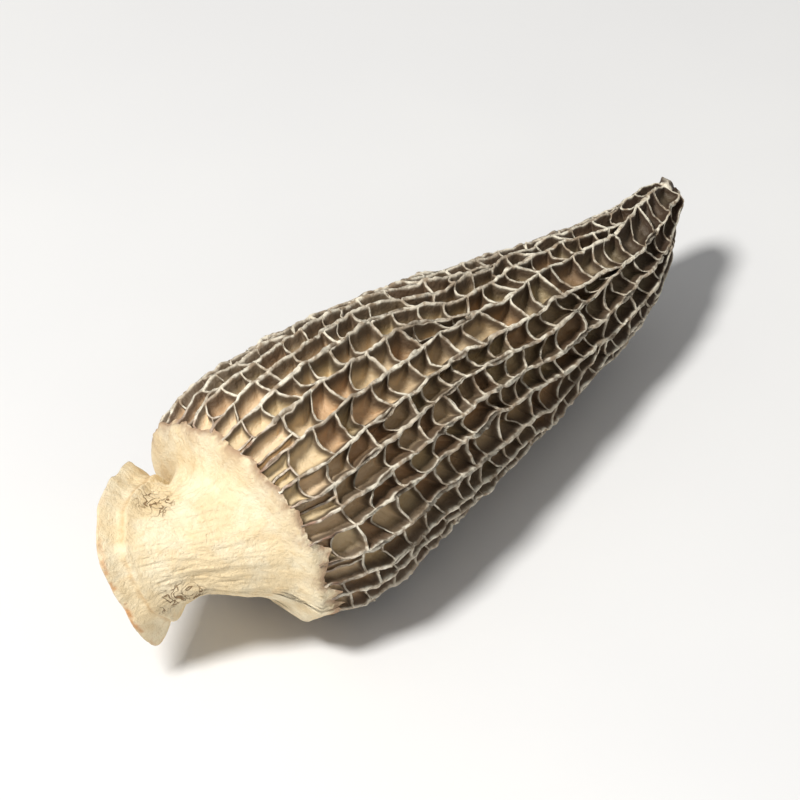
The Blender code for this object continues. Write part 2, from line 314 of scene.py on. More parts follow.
# Between the points along a crest
CREST_SPACING = 0.00030
# Half the thickness of the crests
LONG_RIB_HALF = 0.00019
CROSS_RIB_HALF = 0.00013
FINE_RIB_HALF = 0.00010
# A cross rib is as thick as the long rib where it meets it, and thins over this length
JUNCTION_LENGTH = 0.0006
RIB_SWELL_LENGTH = 0.0032
# Here and there a long rib's crest is parted by a groove
GROOVE_DEPTH = 0.00035
GROOVE_LENGTH = 0.005
# How deep the cross ribs hang between the long ones, and the cap's edge at the ring
CROSS_DIP = 0.0009
FINE_DIP = 0.0012
RING_DIP = 0.0008
# Columns wider than this share of the usual width are parted by a riblet at the ring
RIBLET_WIDTH = 0.92
RIBLET_BEND = 0.02
RIBLET_DIP = (0.0001, 0.0007)
# How crests stray to any side: (size of the drift, how far)
CREST_DRIFTS = ((0.0034, 0.00044), (0.0011, 0.00020))
# How ragged their edge is: small notches and longer dips, each (size, depth)
CREST_NOTCH = (0.0009, 0.00048)
CREST_HOLLOW = (0.0026, 0.00040)
PIT_DEPTH_SPREAD = (0.85, 1.12)
PIT_FOLD = 0.05
PIT_DRIFT = (0.0016, 0.00010)
# A pit's side, from the crest's middle to the middle of its floor:
# (share of the way from the rib's edge to the pit's middle, share of the depth, paleness)
PIT_SIDE = (
    (0.00, 0.02, 0.78),
    (0.02, 0.13, 0.32),
    (0.06, 0.36, 0.06),
    (0.14, 0.64, 0.02),
    (0.32, 0.87, 0.0),
    (0.62, 0.97, 0.0),
)


def along(stations, x):
    """The value at x of a smooth curve through the stations, with no overshoot between them."""
    if x <= stations[0][0]:
        return stations[0][1]
    if x >= stations[-1][0]:
        return stations[-1][1]
    slopes = [(b[1] - a[1]) / (b[0] - a[0]) for a, b in zip(stations, stations[1:])]
    i = max(n for n, station in enumerate(stations[:-1]) if station[0] <= x)

    def tangent(n):
        if n == 0 or n == len(slopes):
            return slopes[min(n, len(slopes) - 1)]
        before, after = slopes[n - 1], slopes[n]
        return 0.0 if before * after <= 0 else 2 * before * after / (before + after)

    (x0, y0), (x1, y1) = stations[i], stations[i + 1]
    width = x1 - x0
    t = (x - x0) / width
    return (
        y0 * (1 + 2 * t) * (1 - t) ** 2
        + y1 * t * t * (3 - 2 * t)
        + tangent(i) * width * t * (1 - t) ** 2
        - tangent(i + 1) * width * t * t * (1 - t)
    )


def bulge(shape, angle):
    """The sum of a shape's bulges at this angle."""
    total = 0.0
    for middle, size, width in shape:
        away = (math.degrees(angle) - middle + 180) % 360 - 180
        total += size * math.exp(-((away / width) ** 2))
    return total


def ring_lean(x, across):
    """How far a point at this place across the axis is moved to the tip by the ring's lean."""
    fade = max(0.0, 1 - x / RING_LEAN_REACH)
    return RING_LEAN / 2 * (1 - across.dot(RING_NEAR_SIDE) / RING_RADIUS) * fade * fade * (3 - 2 * fade)


def ring_radius(x, angle):
    """The cap's or the stem's radius at x from the ring, as a share of what it would be if round."""
    fade = max(0.0, 1 - abs(x) / RING_SHAPE_REACH)
    return 1 + bulge(RING_SHAPE, angle) * fade * fade


def cap_point(x, angle, outline, drop=0.0):
    """A point on the cap's outline or hollow, at an angle round the axis from +Y, sunk in by drop."""
    share = x / CAP_LENGTH
    lobes = sum(
        size * math.sin(waves * angle + 2 * math.pi * turns * share + phase)
        for waves, turns, size, phase in CAP_LOBES
    )
    radius = along(outline, x) * (1 + min(1.0, x / CAP_LOBES_START) * lobes) * ring_radius(x, angle) - drop
    across = radius * Vector((0.0, math.cos(angle), math.sin(angle)))
    middle = Vector((x + ring_lean(x, across), along(CAP_LEAN_Y, x), along(CAP_SAG_Z, x)))
    return ring_middle + middle + across


class Net:
    """Ribs that run from the ring to the tip, closing up as the cap narrows, and the cross ribs
    between them. Column k lies between rib k and rib k + 1."""

    start = JOINT_GAP / 2
    end = CAP_OUTLINE[-1][0]

    def __init__(self):
        self.draw = random.Random(NET_SEED)
        self.known_angles = {}
        self.closes = self.closing_places()
        self.widths = [self.draw.uniform(*RIB_SPREAD) for _ in range(RIBS)]
        self.waves = [
            (self.draw.uniform(*RIB_WAVE_LENGTH), self.draw.uniform(0, 2 * math.pi))
            for _ in range(RIBS)
        ]
        self.middle = None
        self.angles(self.start)
        self.crossings = [self.cross_ribs(k) for k in range(RIBS)]
        self.join_near_junctions()
        self.add_fine_ribs()

    def closing_places(self):
        """Where each column closes, so that those left keep their natural width as the cap narrows."""
        closes = [math.inf] * RIBS
        order = [(i * RIB_STRIDE) % RIBS for i in range(RIBS - RIBS_AT_TIP)]
        x = FIRST_CLOSING
        while order and x < self.end - CLOSING_LENGTH / 4:
            share = x / CAP_LENGTH
            width = COLUMN_WIDTH_BASE + (COLUMN_WIDTH_TIP - COLUMN_WIDTH_BASE) * share
            wanted = 2 * math.pi * along(CAP_OUTLINE, x) / width
            if wanted < len(order) + RIBS_AT_TIP - 0.5:
                closes[order.pop(0)] = round(x, 6)
            x += CLOSING_STEP
        return closes

    def angles(self, x):
        """The angle of every rib at x."""
        if x in self.known_angles:
            return self.known_angles[x]
        widths = []
        for close, width, (length, phase) in zip(self.closes, self.widths, self.waves):
            opening = math.sin(math.pi / 2 * min(1.0, max(0.0, (close - x) / CLOSING_LENGTH)))
            widths.append(width * opening * (1 + RIB_WAVE * math.sin(2 * math.pi * x / length + phase)))
        turns = [2 * math.pi * sum(widths[:k]) / sum(widths) for k in range(RIBS)]
        # Turned so that the ribs on the whole run straight, whichever columns have closed
        middle = sum(turns) / RIBS
        if self.middle is None:
            self.middle = middle
        turn = self.middle - middle + NET_TWIST * x
        turn += NET_SWAY * math.sin(2 * math.pi * x / NET_SWAY_LENGTH)
        self.known_angles[x] = [place + turn for place in turns]
        return self.known_angles[x]

    def rib_at(self, k, x):
        """The rib that rib k has run into by x."""
        k %= RIBS
        while x >= self.closes[k - 1]:
            k = (k - 1) % RIBS
        return k

    def cross_ribs(self, k):
        """[x on rib k, x on rib k + 1, bow] of each of column k's cross ribs, from ring to tip."""
        found = []
        x = self.start + self.draw.uniform(*FIRST_CROSS)
        stop = min(self.closes[k], self.end)
        while True:
            share = x / CAP_LENGTH
            step = CROSS_STEP_BASE + (CROSS_STEP_TIP - CROSS_STEP_BASE) * share
            step *= self.draw.uniform(0.8, 1.2)
            slant = CROSS_SLANT * self.draw.uniform(-0.5, 0.5)
            bow = CROSS_BOW * self.draw.uniform(-0.6, 1.0)
            if x > stop - 0.6 * step:
                return found
            found.append([x - slant, x + slant, bow])
            x += step

    def join_near_junctions(self):
        """Moves junctions that nearly meet on a rib to one place, where the cross ribs then meet."""
        ends = {}
        for k, crossings in enumerate(self.crossings):
            for crossing in crossings:
                for side in (0, 1):
                    ends.setdefault(self.rib_at(k + side, crossing[side]), []).append((crossing, side))
        fixed = {}
        for k, close in enumerate(self.closes):
            if close < math.inf:
                fixed.setdefault(self.rib_at(k, close), []).append(close)
        for rib, found in ends.items():
            found.sort(key=lambda end: end[0][end[1]])
            while found:
                first = found[0][0][found[0][1]]
                group = [end for end in found if end[0][end[1]] - first < JUNCTION_GAP]
                found = found[len(group):]
                place = sum(crossing[side] for crossing, side in group) / len(group)
                for close in fixed.get(rib, []):
                    if abs(close - place) < JUNCTION_GAP:
                        place = close
                for crossing, side in group:
                    crossing[side] = place

    def add_fine_ribs(self):
        """Parts each long pit with low, thin ribs between its cross ribs."""
        draw = random.Random(NET_SEED + 1)
        for k in range(RIBS):
            stop = min(self.closes[k], self.end)
            rungs = [[self.start, self.start, 0.0], *self.crossings[k], [stop, stop, 0.0]]
            finer = []
            for low, high in zip(rungs, rungs[1:]):
                middle = (low[0] + low[1] + high[0] + high[1]) / 4
                step = FINE_STEP_BASE + (FINE_STEP_TIP - FINE_STEP_BASE) * middle / CAP_LENGTH
                gap = (high[0] + high[1] - low[0] - low[1]) / 2
                parts = max(1, round(gap / (step * draw.uniform(0.85, 1.2))))
                for n in range(1, parts):
                    share = n / parts + draw.uniform(-0.12, 0.12) / parts
                    slant = 0.25 * gap / parts * draw.uniform(-1, 1)
                    finer.append([
                        low[0] + (high[0] - low[0]) * share - slant,
                        low[1] + (high[1] - low[1]) * share + slant,
                        CROSS_BOW * draw.uniform(-0.3, 1.3),
                        True,
                    ])
            self.crossings[k] = sorted(
                [[*crossing, False] for crossing in self.crossings[k]] + finer, key=lambda rung: rung[0]
            )

    def meetings(self):
        """For each rib, the places where something meets it."""
        found = {rib: {self.start, self.end} for rib in range(RIBS)}
        for k, close in enumerate(self.closes):
            if close < math.inf:
                found[self.rib_at(k, close)].add(close)
        for k, crossings in enumerate(self.crossings):
            for crossing in crossings:
                for side in (0, 1):
                    found[self.rib_at(k + side, crossing[side])].add(crossing[side])
        return found

    def pits(self):
        """(column, edge nearer the ring, edge nearer the tip, places on its left rib, on its right)."""
        meetings = self.meetings()
        for k in range(RIBS):
            stop = min(self.closes[k], self.end)
            rungs = [[self.start, self.start, 0.0, False], *self.crossings[k], [stop, stop, 0.0, False]]
            for low, high in zip(rungs, rungs[1:]):
                sides = []
                for side in (0, 1):
                    places = {low[side], high[side]}
                    for rib in range(RIBS):
                        places |= {
                            x for x in meetings[rib]
                            if low[side] < x < high[side] and self.rib_at(k + side, x) == rib
                        }
                    sides.append(sorted(places))
                yield k, low, high, *sides


net = Net()


def groove(k, x):
    """How far a groove parts the crest of a long rib here, from 0 to 1."""
    return min(1.0, max(0.0, 4 * noise.noise(Vector((x / GROOVE_LENGTH, 3.1 * k, 9.0))) - 0.5))


def rib_width(k, x):
    """Half the thickness of a long rib's crest, which swells and thins along it."""
    swell = noise.noise(Vector((x / RIB_SWELL_LENGTH, 7.3 * k, 0.5)))
    return LONG_RIB_HALF * (1 + 0.65 * swell + 0.9 * groove(k, x)) * (0.75 if x < 0.004 else 1.0)


def rib_point(k, x):
    """A point (x, angle, half width, drop, groove) on a long rib's crest."""
    rib = net.rib_at(k, x)
    return x, net.angles(x)[rib], rib_width(rib, x), 0.0, groove(rib, x)


def rib_run(k, places):
    """Points up a long rib, without the last one."""
    for x0, x1 in zip(places, places[1:]):
        count = max(1, math.ceil((x1 - x0) / CREST_SPACING))
        for i in range(count):
            yield rib_point(k, x0 + (x1 - x0) * i / count)


def cross_run(k, rung):
    """Points across a column on one cross rib, with both of its ends."""
    x_left, x_right, bow, fine = rung
    left_rib, right_rib = net.rib_at(k, x_left), net.rib_at(k + 1, x_right)
    left, right = net.angles(x_left)[left_rib], net.angles(x_right)[right_rib]
    right += 2 * math.pi * round((left - right + math.pi) / (2 * math.pi)) if right < left else 0.0
    x = (x_left + x_right) / 2
    width = (right - left) * along(CAP_OUTLINE, x)
    count = max(4, math.ceil(width / CREST_SPACING))
    at_ring, at_end = x_left <= net.start, x_left >= net.end
    dip = 0.0 if at_end else RING_DIP if at_ring else min(
        (FINE_DIP if fine else CROSS_DIP) * (0.8 + 0.5 * math.sin(53.1 * k + 911 * x)),
        0.55 * along(PIT_DEPTH, x),
    )
    thin = FINE_RIB_HALF if fine else CROSS_RIB_HALF
    ends = (rib_width(left_rib, x_left), rib_width(right_rib, x_right))
    grooves = (groove(left_rib, x_left), groove(right_rib, x_right))
    points = []
    for i in range(count + 1):
        u = i / count
        hang = 4 * u * (1 - u)
        thick = ends[0] + (ends[1] - ends[0]) * u
        near_end = max(0.0, 1 - min(u, 1 - u) * width / JUNCTION_LENGTH)
        points.append((
            x_left + (x_right - x_left) * u - (0 if at_ring or at_end else bow * width * hang),
            left + (right - left) * u,
            thin + (thick - thin) * near_end ** 2,
            dip * hang ** (0.4 if at_ring else 0.8),
            grooves[0] if i == 0 else grooves[1] if i == count else 0.0,
        ))
    return points


def riblet(start, end, draw):
    """Points up a short, thin rib between two cross ribs, without its ends."""
    turn = end[1] + 2 * math.pi * round((start[1] - end[1]) / (2 * math.pi)) - start[1]
    count = max(2, math.ceil((end[0] - start[0]) / CREST_SPACING))
    bend = draw.uniform(-RIBLET_BEND, RIBLET_BEND)
    dip = draw.uniform(*RIBLET_DIP)
    points = []
    for i in range(1, count):
        u = i / count
        points.append((
            start[0] + (end[0] - start[0]) * u,
            start[1] + turn * u + bend * math.sin(math.pi * u),
            CROSS_RIB_HALF,
            start[3] + (end[3] - start[3]) * u + dip * math.sin(math.pi * u),
            0.0,
        ))
    return points


def crest_loops(k, low, high, left_places, right_places, draw):
    """The crest round one pit, or round the halves of one that a riblet parts by the ring."""
    left = list(rib_run(k, left_places))
    right = [*rib_run(k + 1, right_places), rib_point(k + 1, right_places[-1])]
    near, far = cross_run(k, low), cross_run(k, high)
    if low[0] > net.start or high[0] == net.closes[k] or net.widths[k] < RIBLET_WIDTH:
        loops = [left + (far[:-1] if high[0] < net.closes[k] else []) + right[::-1] + near[-2:0:-1]]
    else:
        share = draw.uniform(0.38, 0.62)
        m, n = round(share * len(near)), round(share * len(far))
        between = riblet(near[m], far[n], draw)
        loops = [
            left + far[:n + 1] + between[::-1] + near[m:0:-1],
            [near[m]] + between + far[n:-1] + right[::-1] + near[-2:m:-1],
        ]
    return [
        [(x, angle + 2 * math.pi * round((loop[0][1] - angle) / (2 * math.pi)), *rest)
         for x, angle, *rest in loop]
        for loop in loops
    ]


# So that the drift is the same in every run
noise.seed_set(NET_SEED)


def wander(point, size, amount):
    """A smooth drift to any side, which repeats after about this size."""
    return amount * noise.noise_vector(point / size)


def crest_wander(point):
    """How far a crest strays from its even line."""
    return sum((wander(point, *drift) for drift in CREST_DRIFTS), Vector())


class Skin:
    """A mesh that grows pit by pit, where pits share the points of the crest between them."""

    def __init__(self):
        self.points = []
        self.faces = []
        self.facts = {"crest": [], "pit": [], "floor": []}
        self.shared = {}

    def add(self, point, crest, pit, floor):
        """Adds a point and its facts, and gives its number."""
        self.points.append((point.x, point.y, max(point.z, 0.0)))
        for name, value in (("crest", crest), ("pit", pit), ("floor", floor)):
            self.facts[name].append(value)
        return len(self.points) - 1

    def crest_point(self, x, angle, drop, parted, pit):
        """The number of the point at this place on the crest, which is made when first met."""
        key = (round(x * 1e7), round(angle % (2 * math.pi) * 1e5))
        if key not in self.shared:
            point = cap_point(x, angle, CAP_OUTLINE, drop)
            (notch_size, notch), (hollow_size, hollow) = CREST_NOTCH, CREST_HOLLOW
            ragged = notch * abs(noise.noise(point / notch_size))
            ragged += hollow * noise.noise(point / hollow_size) + parted * GROOVE_DEPTH
            sunk = cap_point(x, angle, CAP_OUTLINE, drop + ragged) - point
            point += crest_wander(point)
            point += sunk
            self.shared[key] = self.add(point, 1.0 - 0.75 * parted, pit, 0.0)
        return self.shared[key]


def add_pit(skin, loop, draw):
    """Hangs one pit from its crest: over the rib's edge, down its side and across its floor."""
    count = len(loop)
    xs = [place[0] for place in loop]
    turns = [place[1] for place in loop]
    radius = along(CAP_OUTLINE, sum(xs) / count)
    middle = (sum(xs) / count, sum(turns) / count)
    half_length = (max(xs) - min(xs)) / 2
    half_width = (max(turns) - min(turns)) / 2 * radius
    spare = max(0.0, half_length - 1.1 * half_width)
    pit = draw.random()
    depth = along(PIT_DEPTH, middle[0]) * draw.uniform(*PIT_DEPTH_SPREAD)
    depth = min(depth, 0.0004 + 2.3 * min(half_width, half_length))
    folds = (draw.uniform(0, 9), draw.uniform(0, 9))

    rings = [[skin.crest_point(x, angle, drop, parted, pit) for x, angle, _, drop, parted in loop]]
    for share, sunk, pale in PIT_SIDE:
        ring = []
        for i, (x, angle, half, drop, _) in enumerate(loop):
            aim_x = middle[0] + max(-spare, min(spare, x - middle[0]))
            run_x, run_turn = aim_x - x, (middle[1] - angle) * radius
            run = math.hypot(run_x, run_turn) or 1e-9
            fold = noise.noise(Vector((8 * i / count + folds[0], folds[1], 2.0 * share)))
            edge = half / run
            folded = PIT_FOLD * fold if 0.02 < share < 0.5 else 0.0
            part = min(0.92, edge + (1 - edge) * share + folded)
            floor_here = max(depth, drop + 0.0003)
            down = drop + (floor_here - drop) * sunk
            point = cap_point(x + run_x * part, angle + run_turn * part / radius, CAP_OUTLINE, down)
            start = cap_point(x, angle, CAP_OUTLINE, drop)
            point += (1 - 0.7 * share) * (1 - share) * crest_wander(start)
            point += wander(point, *PIT_DRIFT)
            ring.append(skin.add(point, pale, pit, sunk))
        rings.append(ring)
    floor = cap_point(*middle, CAP_OUTLINE, depth)
    bottom = skin.add(floor, 0.0, pit, 1.0)
    for outer, inner in zip(rings, rings[1:]):
        for i in range(count):
            j = (i + 1) % count
            skin.faces.append((outer[i], inner[i], inner[j], outer[j]))
    for i in range(count):
        skin.faces.append((rings[-1][i], bottom, rings[-1][(i + 1) % count]))


TIP_ROWS = 8
TIP_PLEATS = 5
TIP_BUMP = 0.0005
TIP_DRIFT = (0.0012, 0.0004)


def add_tip(skin):
    """Draws the last ribs together in a small pleated knob."""
    loop = []
    for k in range(RIBS):
        if net.closes[k] > net.end:
            loop += cross_run(k, [net.end, net.end, 0.0, False])[:-1]
    rings = [[skin.crest_point(x, angle, drop, 0.0, 0.5) for x, angle, _, drop, _ in loop]]
    for n in range(1, TIP_ROWS):
        turn = math.pi / 2 * n / TIP_ROWS
        ring = []
        for _, angle, *_ in loop:
            x = net.end + (CAP_LENGTH - net.end) * math.sin(turn)
            bumps = noise.noise(Vector((3 * math.cos(angle), 3 * math.sin(angle), 5 * turn)))
            pleat = abs(math.sin(TIP_PLEATS / 2 * angle + 2.0 * turn + bumps))
            knob = math.cos(turn) ** 1.4 * (CAP_OUTLINE[-1][1] + TIP_BUMP * bumps) * (0.72 + 0.28 * pleat)
            point = cap_point(x, angle, ((0.0, knob), (CAP_LENGTH, knob)))
            point += wander(point, *TIP_DRIFT)
            ring.append(skin.add(point, 0.62 * pleat ** 2, 0.5, 0.3))
        rings.append(ring)
    top = skin.add(cap_point(CAP_LENGTH, 0.0, ((0.0, 0.0), (CAP_LENGTH, 0.0))), 0.3, 0.5, 0.3)
    count = len(loop)
    for outer, inner in zip(rings, rings[1:]):
        for i in range(count):
            j = (i + 1) % count
            skin.faces.append((outer[i], inner[i], inner[j], outer[j])[::-1])
    for i in range(count):
        skin.faces.append((rings[-1][i], top, rings[-1][(i + 1) % count])[::-1])


def make_piece(name, points, faces, facts, finish, node):
    """A smooth mesh of the object, which stands for one of the solid's nodes."""
    mesh = bpy.data.meshes.new(name)
    mesh.from_pydata(points, [], faces)
    for fact, values in facts.items():
        mesh.attributes.new(fact, "FLOAT", "POINT").data.foreach_set("value", values)
    mesh.shade_smooth()
    mesh.materials.append(finish.material)
    piece = bpy.data.objects.new(name, mesh)
    bpy.context.scene.collection.objects.link(piece)
    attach(piece, "root")
    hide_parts(node)


# The flesh's colour: tan pits by the ring, duller ones further up with some rusty and some olive
# ones, nearly black ones at the tip, painted shade darkening the walls round them all to near black over
# their browner flesh, and pale, dry crests
PIT_BY_RING = (0.84, 0.645, 0.415)
PIT_HIGHER_UP = (0.53, 0.40, 0.235)
RUSTY_PIT = (0.50, 0.25, 0.095)
OLIVE_PIT = (0.66, 0.54, 0.29)
PIT_AT_TIP = (0.050, 0.032, 0.020)
PIT_MEAL = (0.74, 0.57, 0.34)
# The pits' walls: somewhat browner flesh, darkened to near black as painted shade
DARK_WALL_AND_PAINTED_SHADE = (0.062, 0.036, 0.020)
DULL_CREST = (0.38, 0.285, 0.19)
PALE_CREST = (0.92, 0.85, 0.69)
GREY_CREST = (0.46, 0.375, 0.275)
RING_BROWN = (0.34, 0.18, 0.12)
RING_BROWN_START = -0.0335

cap_finish = Finish("dry cap flesh")
crest = cap_finish.attribute("crest")
pit = cap_finish.attribute("pit")
floor = cap_finish.attribute("floor")
x_place = cap_finish.coordinate("X") + 0.014 * (cap_finish.grain(0.006, 3.0) - 0.5)
speck = cap_finish.grain(0.0007, 4.0, 0.65)
tip_end = x_place.step(0.004, 0.042)
pit_colour = cap_finish.mix(x_place.step(-0.032, 0.016), PIT_BY_RING, PIT_HIGHER_UP)
pit_colour = cap_finish.mix((pit - 0.60).step(0.0, 0.3) * 0.50, pit_colour, RUSTY_PIT)
pit_colour = cap_finish.mix((0.35 - pit).step(0.0, 0.3) * 0.50, pit_colour, OLIVE_PIT)
pit_colour = cap_finish.mix(tip_end * 0.9, pit_colour, PIT_AT_TIP)
pit_colour = cap_finish.mix(speck.step(0.40, 0.75) * 0.26 * (1 - tip_end), pit_colour, PIT_MEAL)
# Painted shade: the pits' walls, between crest and floor, are darkened to near black over their browner
# flesh, where shade falls in the pits
pit_colour = cap_finish.mix((1 - floor.step(0.30, 0.92)) * 0.88, pit_colour, DARK_WALL_AND_PAINTED_SHADE)
crest_grain = cap_finish.grain(0.0013, 4.0, 0.6)
crest_colour = cap_finish.mix(crest_grain.step(0.36, 0.58), DULL_CREST, PALE_CREST)
greyness = cap_finish.grain(0.0045, 2.0).step(0.42, 0.64)
crest_colour = cap_finish.mix(greyness * 0.55, crest_colour, GREY_CREST)
by_ring = 1 - (x_place - RING_BROWN_START).step(0.0005, 0.006)
ring_blush = by_ring * cap_finish.grain(0.002).step(0.35, 0.65)
crest_colour = cap_finish.mix(ring_blush * 0.8, crest_colour, RING_BROWN)
paleness = (crest + 0.45 * (crest_grain - 0.5)).step(0.22, 0.80)
cap_finish.connect(cap_finish.shader, {
    "Base Color": cap_finish.mix(paleness, pit_colour, crest_colour),
    "Roughness": 0.55 + 0.30 * paleness + 0.12 * (speck - 0.5),
    "Normal": cap_finish.relief(
        cap_finish.grain(0.0005, 5.0, 0.6) + 0.7 * cap_finish.grain(0.0018, 3.0), 0.00026
    ),
})

skins = {"cap.near_side": Skin(), "cap.far_side": Skin(), "cap.tip": Skin()}
pit_draw = random.Random(NET_SEED + 2)
for column, *edges in net.pits():
    side = skins["cap.near_side" if column >= RIBS // 2 else "cap.far_side"]
    for loop in crest_loops(column, *edges, pit_draw):
        add_pit(side, loop, pit_draw)
add_tip(skins["cap.tip"])
for name, skin in skins.items():
    make_piece(name, skin.points, skin.faces, skin.facts, cap_finish, "cap")


# The stem
# A short pale tube, as hollow as the cap and grown to its ring by a broad shoulder. It dried bent
# and finely wrinkled, and flares to the thin lip where it was cut. Its torn skin runs up a little
# between the ends of the ribs, and furthest in a ragged flap low on the near side.

STEM_LENGTH = 0.0133
NECK_RADIUS = 0.0061
FOOT_RADIUS = 0.0101
# (distance down the stem from the ring, radius)
STEM_OUTSIDE = (
    (-0.0040, RING_RADIUS + 0.0016),
    (-0.0010, RING_RADIUS + 0.0001),
    (0.0, RING_RADIUS - 0.0001),
    (0.0005, 0.0124),
    (0.0011, 0.0107),
    (0.0020, 0.0090),
    (0.0032, 0.0078),
    (0.0048, 0.0069),
    (0.0068, NECK_RADIUS),
    (0.0086, 0.0064),
    (0.0102, 0.0074),
    (0.0116, 0.0087),
    (STEM_LENGTH - 0.0006, FOOT_RADIUS - 0.0003),
    (STEM_LENGTH, FOOT_RADIUS),
)
STEM_HOLLOW = (
    (0.0, 0.0072),
    (0.0020, 0.0066),
    (0.0048, 0.0057),
    (0.0068, 0.0050),
    (0.0088, 0.0053),
    (0.0108, 0.0065),
    (0.0122, 0.0082),
    (STEM_LENGTH, 0.0095),
)
FOOT_CENTRE = Vector((-0.0104, 0.0065, -0.0006))
FOOT_HEADING = Vector((-0.42, 0.82, -0.38)).normalized()
# Where the foot's rim is drawn in or out, and where along the stem that starts
FOOT_SHAPE = ((185, -0.22, 38), (231, 0.05, 20))
FOOT_FLARE = 0.0075
# How far the stem keeps to its ends' directions before it swings round, and how far it arches
STEM_SWING = 0.0044
STEM_ARCH = 0.0010
# Between these places it turns from the way that the ring looks to the way that the foot does
STEM_BEND = (0.0012, 0.0102)
# (waves round the stem, height, phase, twist down the stem)
STEM_WRINKLES = (
    (2, 0.00045, 0.5, 60),
    (3, 0.00030, 2.1, -90),
    (7, 0.00014, 1.1, 120),
    (11, 0.00012, 0.4, -70),
)
WRINKLES_START = 0.004
STEM_SIDES = 300
STEM_ROWS = 130
# The share of its rows on the outside, which stand closer together at the torn edge
OUTSIDE_ROWS = 0.72
ROW_CROWDING = 1.15
# Angles are in degrees round the stem
FLAP_ANGLE = 216
FLAP_HALF = 30
FLAP_LIFT = 0.0009
CRUMPLE_ANGLE = 25
CRUMPLE_HALF = 60
CRUMPLE_LENGTH = 0.0014
CRUMPLE_HEIGHT = 0.0009
# Above the foot's rim runs a raised fold, then a shallow band, then the lip curls out
FOLD_PLACE = 0.0103
FOLD_SWAY = 0.0005
FOLD_WIDTH = 0.00042
FOLD_HEIGHT = 0.00060
CREASE_BELOW_FOLD = 0.00055
CREASE_WIDTH = 0.00030
BAND_PLACE = 0.0118
BAND_WIDTH = 0.0008
BAND_DEPTH = 0.00042
LIP_PLACE = 0.0128
LIP_CURL = 0.44
# Scratched patches: (angle, how wide it is, how far down the stem)
SCARS = ((84, 24, 0.0082), (204, 19, 0.0084))
SCAR_LENGTH = 0.0018
SCAR_DEPTH = 0.00025
# The line of orange brown on the cut: where round the rim, how wide, how far from the edge
BURN_ANGLE = 186
BURN_HALF = 62
BURN_INSET = 0.0004
BURN_WIDTH = 0.00028
TORN_WIDTH = 0.0010
INSIDE_ROUGHNESS = 0.00025
WALL_AT_LEAST = 0.0005


def stem_point(s, angle, radius):
    """A point at distance s down the bent stem from the ring, at an angle round it."""
    ring_heading = Vector((-1.0, 0.0, 0.0)) - RING_LEAN / 2 / RING_RADIUS * RING_NEAR_SIDE
    ring_heading.normalize()
    start = ring_middle + Vector((RING_LEAN / 2 - JOINT_GAP / 2, 0.0, 0.0))
    end = start + FOOT_CENTRE
    bends = (start, start + STEM_SWING * ring_heading, end - STEM_SWING * FOOT_HEADING, end)
    t = max(0.0, s / STEM_LENGTH)
    centre = (
        (1 - t) ** 3 * bends[0]
        + 3 * t * (1 - t) ** 2 * bends[1]
        + 3 * t * t * (1 - t) * bends[2]
        + t ** 3 * bends[3]
    )
    centre.z += STEM_ARCH * (4 * t * (1 - t)) ** 2
    centre += min(0.0, s) * ring_heading
    bent = min(1.0, max(0.0, (s - STEM_BEND[0]) / (STEM_BEND[1] - STEM_BEND[0])))
    heading = ring_heading.slerp(FOOT_HEADING, bent)
    sideways = heading.cross(Vector((0.0, 0.0, 1.0))).normalized()
    upward = sideways.cross(heading)
    fade = min(1.0, max(0.0, s / WRINKLES_START))
    flare = max(0.0, (s - FOOT_FLARE) / (STEM_LENGTH - FOOT_FLARE))
    radius *= ring_radius(s, angle) + bulge(FOOT_SHAPE, angle) * flare * flare
    radius += fade * sum(
        size * math.sin(waves * angle + phase + twist * s) for waves, size, phase, twist in STEM_WRINKLES
    )
    return centre + radius * (math.cos(angle) * sideways + math.sin(angle) * upward)


def around(angle, waves, seed):
    """Noise that meets itself after one turn round the stem, with about this many waves."""
    reach = waves / (2 * math.pi)
    return noise.noise(Vector((reach * math.cos(angle), reach * math.sin(angle), seed)))


def flap(angle):
    """1 where the torn flap is, and 0 away from it."""
    return max(0.0, 1 - (turned(angle, FLAP_ANGLE) / FLAP_HALF) ** 2) ** 0.5


def turned(angle, middle):
    """How many degrees an angle is away from a middle one."""
    return (math.degrees(angle) - middle + 180) % 360 - 180


def torn_edge(angle):
    """How far the skin reaches up over the ring."""
    teeth = 0.5 * abs(around(angle, 34, 3.1)) + 0.35 * abs(around(angle, 90, 8.4))
    tongues = max(0.0, around(angle, 13, 6.0) - 0.05)
    return 0.0003 + 0.0020 * teeth + 0.0026 * tongues + flap(angle) * (0.0008 + 0.0058 * teeth)


def fine_wrinkles(s, angle):
    """The short folds and grain that drying left, deepest in the neck."""
    place = Vector((5.0 * math.cos(angle), 5.0 * math.sin(angle), s / 0.0045))
    slanted = place + Vector((0.0, 0.0, 1.3 * math.sin(angle)))
    folds = 1 - abs(noise.noise(slanted)) * 2.2
    fine = 1 - abs(noise.noise(slanted * 2.9)) * 2
    mealy = noise.noise(place * 7.1)
    smoother_foot = 1 - 0.7 * max(0.0, min(1.0, (s - 0.0098) / 0.001))
    neck = min(1.0, max(0.0, s / WRINKLES_START)) * smoother_foot
    return neck * (0.00017 * folds + 0.00014 * fine) + 0.00005 * mealy


def scar(s, angle):
    """1 in the two scratched patches just above the foot's fold, and 0 away from them."""
    return min(1.0, sum(
        math.exp(-((turned(angle, middle) / width) ** 2) - ((s - along_stem) / SCAR_LENGTH) ** 2)
        for middle, width, along_stem in SCARS
    ))


def hump(distance, width):
    """1 where the distance is 0, and falling to 0 beyond this width."""
    return math.exp(-((distance / width) ** 2))


